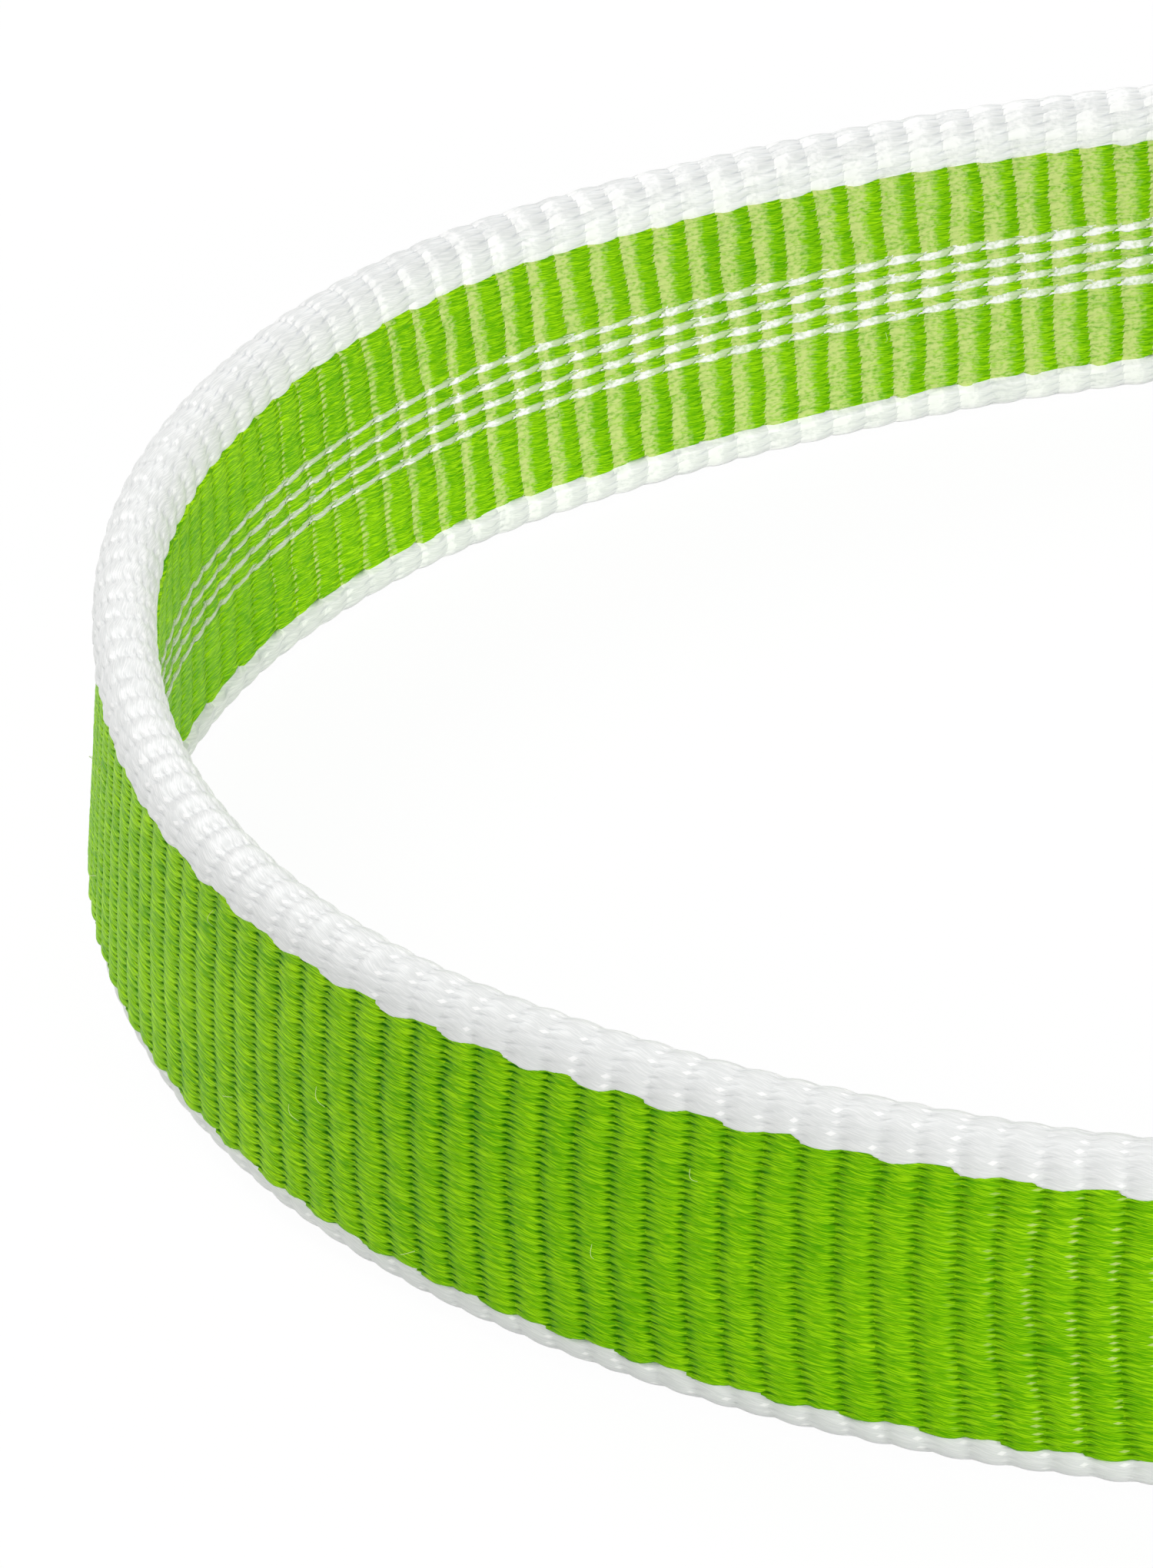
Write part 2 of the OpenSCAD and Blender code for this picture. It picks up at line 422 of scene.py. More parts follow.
class Route:
    """The webbing's centreline, with the length along it, for any place on it."""

    def __init__(self, scene):
        loop, half_thickness = scene.sling_loop, scene.sling_webbing.half_thickness
        self.steps = route_steps(loop)
        self.lift = loop.lift
        self.length = run_length(self.steps)
        self.offset = np.zeros(2)
        stations = 2701
        places = self.at(np.linspace(0, self.length, stations))[:, :2]
        low, high = places.min(0), places.max(0)
        # The loop is centred along X, and its plain side gives the CAD box its far side.
        far_side = CAD_BOX[1].y - half_thickness
        self.offset = np.array([-(low[0] + high[0]) / 2, far_side - high[1]])

    def at(self, along):
        """Rows of x, y and heading in radians, at those lengths along the route."""
        along = np.atleast_1d(np.asarray(along, float))
        rows = np.zeros((len(along), 3))
        place, heading, start = self.offset.copy(), 0.0, 0.0
        for i, step in enumerate(self.steps):
            size = step_length(step)
            last = i == len(self.steps) - 1
            here = (along >= start - 1e-12) & ((along < start + size) | last)
            part = (along[here] - start) / size
            turn = np.radians(heading + part * step[0])
            first = math.radians(heading)
            if step[0]:
                x = step[1] * (np.sin(turn) - math.sin(first))
                y = step[1] * (math.cos(first) - np.cos(turn))
            else:
                x, y = part * size * math.cos(first), part * size * math.sin(first)
            rows[here] = np.column_stack([place[0] + x, place[1] + y, turn])
            place = place + step_move(step, heading)
            heading += step[0]
            start += size
        return rows

    def points(self, along, out=0.0, up=0.0):
        """Points in space so far outwards and up in the webbing's own section."""
        rows, lean = self.at(along), lean_at(along)
        beside = out * np.cos(lean) + up * np.sin(lean)
        return np.column_stack([
            rows[:, 0] + beside * np.sin(rows[:, 2]),
            rows[:, 1] - beside * np.cos(rows[:, 2]),
            self.lift - out * np.sin(lean) + up * np.cos(lean)])


# Lean of the webbing: length along the route in millimetres, and how many degrees its top
# leans outwards. It stands upright outside this stretch.
LEAN = [(330, 0), (395.3, 0.4), (412.5, 2.5), (429.8, 4.3), (447, -2.6), (464.2, -8.4),
        (481.5, -6.6), (498.7, -5.4), (516, -7.2), (533.2, -6.1), (575, 0)]


def lean_at(along):
    """Lean in radians at lengths along the route, smooth between the stations."""
    stations, degrees = np.array(LEAN, float).T
    slopes = np.gradient(degrees, stations)
    slopes[[0, -1]] = 0
    along = np.clip(np.asarray(along) / MM, stations[0], stations[-1])
    i = np.clip(np.searchsorted(stations, along) - 1, 0, len(stations) - 2)
    gap = stations[i + 1] - stations[i]
    t = (along - stations[i]) / gap
    lean = ((2 * t**3 - 3 * t**2 + 1) * degrees[i] + (t**3 - 2 * t**2 + t) * gap * slopes[i]
            + (3 * t**2 - 2 * t**3) * degrees[i + 1] + (t**3 - t**2) * gap * slopes[i + 1])
    return np.radians(lean)


def shine_at(heading):
    """Width in ribs of the part of each rib whose fibres catch the light, which is most where
    the strip runs along X. It is negative where the strip runs towards +X."""
    return np.clip(0.28 + 0.36 * np.cos(2 * heading), 0, 1) * np.where(
        np.cos(heading) < 0, 1, -1)


# ---------------------------------------------------------------- lines and trees


def linked(name, data):
    """A new object of that data, in the scene."""
    thing = bpy.data.objects.new(name, data)
    bpy.context.scene.collection.objects.link(thing)
    return thing


def line_mesh(name, points, attributes=None, closed=False, breaks=()):
    """An object that is a line of points with numbers on them, for a tree to read."""
    mesh = bpy.data.meshes.new(name)
    count = len(points)
    edges = [(i, i + 1) for i in range(count - 1) if i + 1 not in breaks]
    mesh.from_pydata([tuple(p) for p in points], edges + ([(count - 1, 0)] if closed else []),
                     [])
    for key, values in (attributes or {}).items():
        layer = mesh.attributes.new(key, "FLOAT", "POINT")
        layer.data.foreach_set("value", np.asarray(values, np.float32))
    return linked(name, mesh)


def discard(*lines):
    for line in lines:
        mesh = line.data
        bpy.data.objects.remove(line)
        bpy.data.meshes.remove(mesh)


def new_tree(name, inputs):
    """A geometry tree with named inputs, each (name, kind); gives its nodes and a reader."""
    tree = bpy.data.node_groups.new(name, "GeometryNodeTree")
    for key, kind in inputs:
        tree.interface.new_socket(key, in_out="INPUT", socket_type="NodeSocket" + kind)
    tree.interface.new_socket("Geometry", in_out="OUTPUT", socket_type="NodeSocketGeometry")
    nodes = Nodes(tree)
    group = tree.nodes.new("NodeGroupInput")
    return nodes, lambda key: Value(nodes, group.outputs[key])


def end_tree(nodes, geometry, material):
    """Realizes what the tree made, gives it its material and hands it out."""
    geometry = nodes.add("GeometryNodeRealizeInstances", None, {"Geometry": geometry})
    geometry = nodes.add("GeometryNodeSetMaterial", None, {
        "Geometry": geometry, "Material": material})
    out = nodes.tree.nodes.new("NodeGroupOutput")
    nodes.tree.links.new(geometry.socket, out.inputs[0])
    return nodes.tree


def curve_of(nodes, line):
    """The curve of an input that is a line object."""
    mesh = nodes.add("GeometryNodeObjectInfo", None, {"Object": line}, "Geometry")
    return nodes.add("GeometryNodeMeshToCurve", None, {"Mesh": mesh})


def named(nodes, key):
    return nodes.add("GeometryNodeInputNamedAttribute", {"data_type": "FLOAT"}, {"Name": key})


def made_plain(name, tree, values):
    """Runs a geometry tree on an empty mesh and gives the result as a plain mesh object."""
    holder = linked(name, bpy.data.meshes.new(name))
    modifier = holder.modifiers.new("tree", "NODES")
    modifier.node_group = tree
    sockets = {s.name: s.identifier for s in tree.interface.items_tree if s.in_out == "INPUT"}
    for key, value in values.items():
        modifier[sockets[key]] = value
    holder.update_tag()
    bpy.context.view_layer.update()
    depsgraph = bpy.context.evaluated_depsgraph_get()
    mesh = bpy.data.meshes.new_from_object(holder.evaluated_get(depsgraph))
    holder.modifiers.clear()
    empty = holder.data
    holder.data = mesh
    bpy.data.meshes.remove(empty)
    mesh.name = name
    if len(mesh.polygons) == 0:
        raise RuntimeError(f"{name} came out empty")
    mesh.shade_smooth()
    return holder


def place_piece(piece, slot, *nodes):
    """Lets a finished piece ride on the webbing, in place of the CAD nodes named."""
    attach(piece, "root")
    if nodes:
        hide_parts(*nodes)
    return piece


def strip_tree():
    """Sweeps a closed section along a rail and raises the weave's relief on it."""
    nodes, given = new_tree("Woven strip", [
        ("Rail", "Object"), ("Section", "Object"), ("Rib height", "Float"),
        ("Float height", "Float"), ("Gap", "Float"), ("Stagger", "Float"), ("Only", "Float"),
        ("All", "Float"), ("Lower border", "Float"), ("Upper border", "Float"),
        ("Lower step", "Float"), ("Upper step", "Float"), ("First step", "Float"),
        ("Middle end", "Float"), ("Bow", "Float"),
        ("Material", "Material")])
    rail = nodes.add("GeometryNodeSetCurveNormal", {"mode": "Z_UP"}, {
        "Curve": curve_of(nodes, given("Rail"))})
    rail = nodes.add("GeometryNodeSetCurveTilt", None, {
        "Curve": rail, "Tilt": named(nodes, "lean")})
    skin = nodes.add("GeometryNodeCurveToMesh", None, {
        "Curve": rail, "Profile Curve": curve_of(nodes, given("Section")), "Fill Caps": True})

    # The ribs bow back in the middle of the face, and no rib or end runs quite true.
    rib, across, fine = (named(nodes, key) for key in ("rib", "across", "fine"))
    from_middle = (across - given("Middle end")) / FACE_ENDS
    bowed = nodes.maths("MAXIMUM", 1 - from_middle * from_middle, 0) * given("Bow")
    drift = nodes.noise(nodes.vector(rib * 0.6, across * 0.13), detail=2.0) - 0.5
    wander = nodes.noise(nodes.vector(rib * 0.9, across * 0.5, 7.0), detail=1.0) - 0.5
    rib = rib + bowed + drift * RIB_DRIFT
    from_crest = rib - nodes.maths("ROUND", rib)
    narrowed = (across - given("Only") - sideways(from_crest)) * named(nodes, "narrow")
    for key, value in (("rib", rib), ("across", across + wander * END_WANDER + narrowed)):
        skin = nodes.add("GeometryNodeStoreNamedAttribute", None, {
            "Geometry": skin, "Name": key, "Value": value})
    rib, across = named(nodes, "rib"), named(nodes, "across")
    ribs, floats, end, _, from_crest = weave(
        nodes, rib, across, given("Rib height"), given("Float height"), given("Gap"),
        given("Stagger"), given("Only"), given("All"))
    # Past its two borders the layer sinks under the next ones.
    first = given("First step")
    above = across - given("Upper border") - border(
        nodes, rib, 2 - first, given("Upper step"))
    below = given("Lower border") + border(nodes, rib, first, given("Lower step")) - across
    ribs = ribs - SINK * nodes.smooth(nodes.maths("MAXIMUM", above, below), 0.0, SINK_ENDS)
    which = nodes.vector(end, nodes.maths("ROUND", rib - from_crest))
    swell = (nodes.white(which) - 0.5) * given("Float height") * SWELL
    normal = nodes.add("GeometryNodeInputNormal")
    offset = nodes.add("ShaderNodeVectorMath", {"operation": "SCALE"}, {
        0: normal, "Scale": (ribs + (floats + swell) * fine) * named(nodes, "proud")})
    skin = nodes.add("GeometryNodeSetPosition", None, {"Geometry": skin, "Offset": offset})
    # The lowest floats are pressed flat on the floor.
    x, y, z = nodes.parts(nodes.add("GeometryNodeInputPosition"))
    floor = nodes.vector(x, y, nodes.maths("MAXIMUM", z, 0.0))
    skin = nodes.add("GeometryNodeSetPosition", None, {"Geometry": skin, "Position": floor})
    return end_tree(nodes, skin, given("Material"))


def thread_tree():
    """Sweeps a round thread along a line."""
    nodes, given = new_tree("Thread", [
        ("Line", "Object"), ("Radius", "Float"), ("Sides", "Int"), ("Material", "Material")])
    ring = nodes.add("GeometryNodeCurvePrimitiveCircle", None, {
        "Resolution": given("Sides"), "Radius": given("Radius")})
    skin = nodes.add("GeometryNodeCurveToMesh", None, {
        "Curve": curve_of(nodes, given("Line")), "Profile Curve": ring, "Fill Caps": True})
    return end_tree(nodes, skin, given("Material"))


def stitch_tree():
    """Sets one stitch after another up a bar tack, each a little unlike the last."""
    nodes, given = new_tree("Satin stitches", [
        ("Line", "Object"), ("Stitch", "Object"), ("Turn", "Float"), ("Seed", "Int"),
        ("Material", "Material")])
    line = nodes.add("GeometryNodeObjectInfo", None, {"Object": given("Line")}, "Geometry")
    stitch = nodes.add("GeometryNodeObjectInfo", None, {"Object": given("Stitch")}, "Geometry")

    def random(low, high, more):
        node = nodes.tree.nodes.new("FunctionNodeRandomValue")
        node.data_type = "FLOAT_VECTOR"
        node.inputs["Min"].default_value, node.inputs["Max"].default_value = low, high
        nodes.tree.links.new((given("Seed") + more).socket, node.inputs["Seed"])
        return Value(nodes, node.outputs["Value"])

    turn = nodes.add("ShaderNodeVectorMath", {"operation": "ADD"}, {
        0: nodes.vector(0.0, 0.0, given("Turn")), 1: random((0, -0.1, 0), (0, 0.1, 0), 0)})
    size = random((0.92, 0.9, 0.95), (1.06, 1.1, 1.05), 100)
    satin = nodes.add("GeometryNodeInstanceOnPoints", None, {
        "Points": line, "Instance": stitch, "Rotation": turn, "Scale": size})
    return end_tree(nodes, satin, given("Material"))


def tree_of(name, make):
    return bpy.data.node_groups.get(name) or make()


# ---------------------------------------------------------------- sections and rails


def section_mesh(outward, upward, across, proud):
    """A closed section for the sweep, which takes its x outwards and its y downwards."""
    x, y = np.asarray(outward), -np.asarray(upward)
    area = np.sum(x * np.roll(y, -1) - np.roll(x, -1) * y)
    order = slice(None, None, 1 if area > 0 else -1)
    points = np.column_stack([x, y, np.zeros(len(x))])[order]
    return line_mesh("section", points, {
        "across": np.asarray(across)[order], "proud": np.asarray(proud)[order]}, closed=True)


def face_section(webbing, per_end, outer):
    """Closed section of a face layer: the woven face, and a plain back inside the tube."""
    back_count, back_inset, back_depth = 4, 0.3 * MM, 0.05 * MM
    reach = (FACE_ENDS + FACE_LAP) * webbing.end_pitch
    count = int(round(2 * (FACE_ENDS + FACE_LAP) * per_end)) + 1
    up = np.linspace(-reach, reach, count)
    back = np.linspace(reach - back_inset, -reach + back_inset, back_count)
    outward = np.concatenate([
        np.full(count, webbing.face_depth), np.full(back_count, back_depth)])
    upward = np.concatenate([up, back])
    across = upward / webbing.end_pitch
    if not outer:
        outward, across = -outward, SIDE_ENDS - across
    return section_mesh(outward, upward, across, [1.0] * count + [0.0] * back_count)


def tracer_section(webbing, end):
    """Closed section of a tracer thread, an end that is wider and prouder than the face's."""
    count, back_depth = 21, 0.9 * MM
    across = end + np.linspace(-FACE_LAP, FACE_LAP, count)
    upward = (SIDE_ENDS - end - (across - end) * TRACER_WIDTH) * webbing.end_pitch
    outward = np.full(count, -webbing.face_depth - TRACER_PROUD)
    return section_mesh(
        np.append(outward, [-back_depth] * 2), np.append(upward, upward[[-1, 0]]),
        np.append(across, across[[-1, 0]]), [1.0] * count + [0.0] * 2)


def edge_section(webbing, per_end, upper):
    """Closed section of a rolled edge: from its outer foot over the round to its inner foot."""
    radius, middle = webbing.edge_radius, webbing.edge_middle
    foot = (FACE_ENDS - EDGE_LAP) * webbing.end_pitch
    straight = middle - foot
    drop = INNER_DROP * webbing.end_pitch if upper else 0.0
    total = 2 * straight + math.pi * radius + drop
    count = int(round(total / webbing.end_pitch * per_end)) + 1
    walk = np.linspace(0, total, count)
    turn = np.clip((walk - straight) / radius, 0, math.pi)
    outward = radius * np.cos(turn) + webbing.edge_offset
    lap = EDGE_LAP * webbing.end_pitch
    upward = np.where(walk < straight, foot + walk,
                      np.where(walk > straight + math.pi * radius,
                               foot + total - drop - walk,
                               middle + radius * np.sin(turn)))
    across = FACE_ENDS + (walk - lap) / (total - drop - 2 * lap) * EDGE_ENDS
    back_depth = 0.6 * radius
    outward = np.append(outward, [-back_depth, back_depth])
    upward = np.append(upward, [foot - drop, foot])
    across = np.append(across, [across[-1], across[0]])
    if not upper:
        outward, upward, across = -outward, -upward, across + SIDE_ENDS
    return section_mesh(outward, upward, across, [1.0] * count + [0.0] * 2)


def three_stretches(scene, fine):
    """The strip's length in stretches, each (start, end, stations to a rib, fine or not), of
    which the middle one is finer than the others."""
    return [(0, fine[0], COARSE, False), (*fine, FINE, True),
            (fine[1], Route(scene).length, COARSE, False)]


def rail_line(scene, start, end, per_rib, fine):
    """Rail of a stretch, with stations on the ribs' crests and so many to a rib, none of them
    too close to its ends."""
    webbing = scene.sling_webbing
    pitch, spare = webbing.rib_pitch / per_rib, 0.3
    steps = np.arange(math.ceil((start - webbing.first_rib) / pitch + spare),
                      math.floor((end - webbing.first_rib) / pitch - spare) + 1)
    along = np.concatenate([[start], webbing.first_rib + steps * pitch, [end]])
    return along, np.full(len(along), float(fine))


def woven_piece(scene, name, section, stretches, material, narrow=0.0, **given):
    """One woven piece along stretches of the route, with how much narrower its floats get in
    the tight bend, and the weave tree's inputs where they aren't those of a face."""
    webbing = scene.sling_webbing
    parts = [rail_line(scene, *stretch) for stretch in stretches]
    along, fine = (np.concatenate([part[i] for part in parts]) for i in (0, 1))
    keep = np.append(True, np.diff(along) > 1e-7)
    along, fine = along[keep], fine[keep]
    route, no_border, side_shine = Route(scene), 1000.0, 0.6
    shine = shine_at(route.at(along)[:, 2])
    rail = line_mesh("rail", route.points(along), {
        "rib": (along - webbing.first_rib) / webbing.rib_pitch, "lean": lean_at(along),
        "fine": fine, "shine": shine,
        "narrow": narrow * np.clip(1 - abs(shine) / side_shine, 0, 1)})
    inputs = {
        "Rail": rail, "Section": section, "Rib height": webbing.rib_height,
        "Float height": webbing.float_height, "Gap": webbing.gap, "Stagger": 0.5, "Only": 0.0,
        "All": 1.0, "Lower border": -no_border, "Upper border": no_border,
        "Lower step": 0.0, "Upper step": 0.0, "First step": 0.5,
        "Middle end": 0.0, "Bow": 0.0, "Material": material}
    inputs.update({key.replace("_", " "): value for key, value in given.items()})
    piece = made_plain(name, tree_of("Woven strip", strip_tree), inputs)
    discard(rail, section)
    return piece


# ---------------------------------------------------------------- materials


def material_of(name, make):
    """The material of that name, made by a function of its nodes if it is new."""
    material = bpy.data.materials.get(name)
    if material is None:
        material = bpy.data.materials.new(name)
        material.use_nodes = True
        make(Nodes(material.node_tree))
    return material


# Strength and tint of the gloss of plain yarn.
PLAIN_GLOSS = (0.5, (1, 1, 1))


def finish_material(nodes, colour_, roughness, normal, gloss=PLAIN_GLOSS, along=0.0):
    """The surface, with the strength and tint of its gloss and how far that follows fibres."""
    shader = nodes.add("ShaderNodeBsdfPrincipled", None, {
        "Base Color": colour_, "Roughness": roughness, "Normal": normal,
        "Specular IOR Level": gloss[0], "Specular Tint": (*gloss[1], 1), "IOR": 1.5,
        "Anisotropic": along, "Anisotropic Rotation": 0.25})
    nodes.add("ShaderNodeOutputMaterial", None, {"Surface": shader})


def bumped(nodes, height):
    """Normal for a height in metres."""
    return nodes.add("ShaderNodeBump", None, {
        "Strength": 1.0, "Distance": 1.0, "Height": height})


def woven_yarn(nodes, tints, relief, wedge, strand_sheen, lit, glint, gloss=PLAIN_GLOSS,
               stagger=0.5):
    """Filament yarn in floats.

    Tints are the yarn's own, that of its brighter strands and painted sheen, that of its
    painted highlights and that of the painted shade between floats. Relief is the height
    and gap of the floats, and the height of the fibres. Wedge says how dark the painted
    shade is where floats dive, on the outer and on the inner side. Strand says how much of
    the brighter strands and painted sheen shows on the lit sides, and in the bends on the
    outer and on the inner side. Lit and glint say how much of the painted lit flanks and of
    the painted glints on single floats beside the valleys there is, on the outer and on the
    inner side. Lit goes on with how unlike lit floats are and how much wider the lit flanks
    are, and glint with the width from which on there are glints. Gloss is its strength and
    tint.
    """
    # The brighter tint also gives a painted sheen, the pale one painted highlights and the last
    # one painted shade between floats.
    own, bright, pale, crease_shade = ((*tint, 1) for tint in tints)
    float_height, gap, fibre_height = relief
    rib_height = 1.4 * float_height
    rib, across, fine, shine = (
        nodes.add("ShaderNodeAttribute", {"attribute_name": key}, output="Fac")
        for key in ("rib", "across", "fine", "shine"))
    _, floats, end, beside, from_crest = weave(
        nodes, rib, across, rib_height, float_height, gap, stagger)
    which = nodes.maths("ROUND", rib - from_crest)
    shade = nodes.white(nodes.vector(end, which))
    # The inner side ends part of the way round the rolled edge, and the lit flanks reach
    # further over it where the strip runs towards -X.
    part_way, further = 0.6 * EDGE_ENDS, 0.4 * EDGE_ENDS
    over = (shine > 0) * further
    shine = abs(shine)
    inner = nodes.smooth(
        abs(across - SIDE_ENDS), over + FACE_ENDS + part_way, over + FACE_ENDS)
    # Fibres run along the float and twist a little about it.
    fibres = nodes.noise(nodes.vector(
        from_crest * 0.8 + shade * 17, beside * 1.6 + from_crest * 3.2, end * 3.1),
        scale=2.4, detail=3.0)
    streaks = nodes.smooth(nodes.noise(nodes.vector(
        from_crest * 1.1 + shade * 31, beside * 3.4 + from_crest * 7.5, end * 5.3),
        scale=1.5, detail=2.0), 0.47, 0.59)
    # The strip's colour drifts slowly, and brighter strands show; where the strip bends, more
    # of them show, as a painted sheen.
    tone = nodes.noise(nodes.vector(rib * 0.21, across * 0.09), scale=1.0, detail=2.0)
    bend = nodes.smooth(shine, 0.5, 0.1)
    strands_and_sheen = nodes.pick(bend, strand_sheen[0], nodes.pick(inner, *strand_sheen[1:]))
    light = strands_and_sheen * (
        nodes.smooth(fibres, 0.36, 0.64) * 0.3 + streaks * 1.5 + shade * 0.25
        + (tone - 0.5) * 0.8)
    # The flank that catches the light starts at the valley, and is grainy. In the bends only
    # the middle of each float is lit.
    grain = nodes.noise(nodes.vector(rib * 5, across * 1.7), scale=1.3, detail=2.0)
    dotted = nodes.smooth(shine, 0.35, 0.15) * nodes.smooth(abs(beside), 0.45, 0.9)
    reach = 0.5 - shine * lit[3] + (shade - 0.5) * 0.14
    flank = nodes.smooth(from_crest + (grain - 0.5) * 0.4, reach - 0.04 - 0.2 * shine,
                         reach + 0.05 + 0.4 * shine)
    uneven = 0.4 + 0.7 * nodes.smooth(grain, 0.3, 0.62) + lit[2] * (shade - 0.5)
    flank = (flank * (1 - dotted) * nodes.smooth(shine, 0.01, 0.08) * uneven
             * nodes.pick(inner, *lit[:2]))
    # Some floats glint beside the valley.
    spot = nodes.smooth(abs(from_crest - 0.5 + 0.2 * shade) * 4.8 + abs(beside) * 1.4,
                        0.75, 0.5)
    outer_glint = glint[0] * nodes.smooth(shine, glint[2], glint[2] + 0.03)
    spot = spot * nodes.smooth(shade, 0.35, 0.6) * nodes.pick(inner, outer_glint, glint[1])
    # Light hardly gets down between the floats, least of all in the valleys.
    valley = nodes.smooth(abs(from_crest - 0.07), 0.2, 0.42)
    outer_wedge = wedge[0] * (1 - 0.35 * nodes.smooth(shine, 0.42, 0.62))
    between = nodes.smooth(abs(beside), 0.68, 0.98) * (0.35 + 0.65 * valley)
    dark = (between + 0.14 * valley) * nodes.pick(inner, outer_wedge, wedge[1])
    # On the yarn's own tint go brighter strands and a painted sheen, then painted shade between
    # floats, then painted highlights on the lit flanks and glints.
    colour_ = nodes.mix(light, own, bright)
    colour_ = nodes.mix(dark, colour_, crease_shade)
    colour_ = nodes.mix(nodes.maths("MAXIMUM", flank, spot), colour_, pale)
    # Where the weave is fine, most of the floats' height is in the shape already.
    height = floats * (1 - 0.75 * fine) + fibres * fibre_height
    finish_material(nodes, colour_, 0.3 + 0.25 * fibres, bumped(nodes, height), gloss,
                    along=0.8)


def face_material():
    """Green yarn of the two faces"""
    yarn, webbing = bpy.context.scene.sling_yarn, bpy.context.scene.sling_webbing
    return material_of("face yarn", lambda nodes: woven_yarn(
        nodes, (yarn.face, yarn.face_strands_and_sheen, yarn.face_pale, yarn.face_shade_and_melt),
        (webbing.float_height, webbing.gap, 0.02 * MM), wedge=(0.9, 0.25),
        strand_sheen=(0.36, 0.62, 0.44), lit=(0.0, 0.95, 0.5, 1.0), glint=(0.72, 0.0, 0.58),
        gloss=(0.09, (0.6, 1.0, 0.1))))


def edge_material():
    """White yarn of the rolled edges"""
    yarn, webbing = bpy.context.scene.sling_yarn, bpy.context.scene.sling_webbing
    return material_of("edge yarn", lambda nodes: woven_yarn(
        nodes, (yarn.edge, yarn.edge_strands_and_sheen, yarn.edge_pale, yarn.edge_crease),
        (webbing.edge_float_height, webbing.edge_gap, 0.006 * MM), wedge=(0.22, 0.6),
        strand_sheen=(0.36, 0.6, 0.6), lit=(0.0, 1.0, 1.5, 1.0), glint=(1.0, 1.0, -1.0)))


def tracer_material():
    """White yarn of the tracer threads"""
    yarn, webbing = bpy.context.scene.sling_yarn, bpy.context.scene.sling_webbing
    # Over a dim grey-green own tint, the edge yarn's white goes on as brighter strands and
    # painted sheen, most in the bends, and the pale white as painted highlights on the lit
    # flanks.
    return material_of("tracer yarn", lambda nodes: woven_yarn(
        nodes, (yarn.tracer, yarn.edge, yarn.edge_pale, yarn.tracer_shade),
        (webbing.float_height, webbing.tracer_gap, 0.006 * MM), wedge=(0.7, 0.7),
        strand_sheen=(0.15, 0.7, 0.5), lit=(1.0, 1.0, 0.5, 1.1), glint=(0.0, 0.0, 0.5),
        stagger=0.0))


def twisted_material(name, rgb, pitch):
    """Thread of plies twisted together, so far from one turn to the next."""
    def make(nodes):
        place = nodes.object_place()
        x, y, z = nodes.parts(place)
        plies = nodes.maths("SINE", (x + y + z * 1.6) * (2 * math.pi / pitch))
        fuzz = nodes.noise(place, scale=9000.0)
        # Painted shade in the grooves between the plies, where the ply relief is low.
        groove_shade = tuple(0.55 * c for c in rgb)
        colour_ = nodes.mix(nodes.smooth(plies + fuzz, -0.9, 0.6), (*groove_shade, 1), (*rgb, 1))
        finish_material(nodes, colour_, 0.4 + 0.2 * fuzz, bumped(nodes, plies * 0.012 * MM))

    return material_of(name, make)


def melted_material():
    """Strip's end after it was cut with a hot knife: green, and white at the rolled edges"""
    def make(nodes):
        yarn = bpy.context.scene.sling_yarn
        place = nodes.object_place()
        from_middle = abs(nodes.parts(place)[2] - bpy.context.scene.sling_loop.lift)
        lumps = nodes.noise(place, scale=1500.0, detail=3.0)
        white = nodes.smooth(from_middle + (lumps - 0.5) * 1.2 * MM, 5.9 * MM, 6.5 * MM)
        # The tints that are painted shade on the woven yarn are here the melted end's own
        # colours.
        colour_ = nodes.mix(white, (*yarn.face_shade_and_melt, 1), (*yarn.edge_crease, 1))
        colour_ = nodes.mix(nodes.smooth(lumps, 0.4, 0.8) * 0.5, colour_, (*yarn.face, 1))
        finish_material(nodes, colour_, 0.22 + 0.3 * lumps, bumped(nodes, lumps * 0.15 * MM))

    return material_of("melted end", make)


def hair_material():
    """Single loose filaments, pale and nearly clear"""
    def make(nodes):
        yarn = bpy.context.scene.sling_yarn
        tone = nodes.noise(nodes.object_place(), scale=700.0)
        colour_ = nodes.mix(tone, (*yarn.hair, 1), (*yarn.face_pale, 1))
        finish_material(nodes, colour_, 0.3 + 0.2 * tone, bumped(nodes, tone * 0.002 * MM))

    return material_of("loose filament", make)


# ---------------------------------------------------------------- operators


class SLING_OT_outer_layer(bpy.types.Operator):
    """Weaves the outer face layer"""

    bl_idname = "sling.outer_layer"
    bl_label = "Outer layer"

    def execute(self, context):
        weave_face(context.scene, "outer", FINE_OUTER)
        return {"FINISHED"}


class SLING_OT_inner_layer(bpy.types.Operator):
    """Weaves the inner face layer"""

    bl_idname = "sling.inner_layer"
    bl_label = "Inner layer"

    def execute(self, context):
        weave_face(context.scene, "inner", FINE_INNER)
        return {"FINISHED"}


def weave_face(scene, side, fine):
    """The three lengths of a face layer, the middle one finer than the others."""
    webbing = scene.sling_webbing
    outer = side == "outer"
    middle = 0.0 if outer else float(SIDE_ENDS)
    step, drop = (OUTER_STEP, 0.0) if outer else (INNER_STEP, INNER_DROP)
    for i, stretch in enumerate(three_stretches(scene, fine)):
        per_end = 5 if stretch[3] else 1
        piece = woven_piece(
            scene, f"{side}_face_{i + 1}", face_section(webbing, per_end, outer),
            [stretch], face_material(), Middle_end=middle, Bow=ribs_bow(webbing, outer),
            Rib_height=webbing.rib_height if outer else webbing.inner_rib_height,
            Lower_border=middle - FACE_ENDS - BORDER_LAP + drop,
            Upper_border=middle + FACE_ENDS + BORDER_LAP,
            Lower_step=step, Upper_step=step)
        place_piece(piece, "face_yarn", *([side + "_layer"] if i == 1 else []))


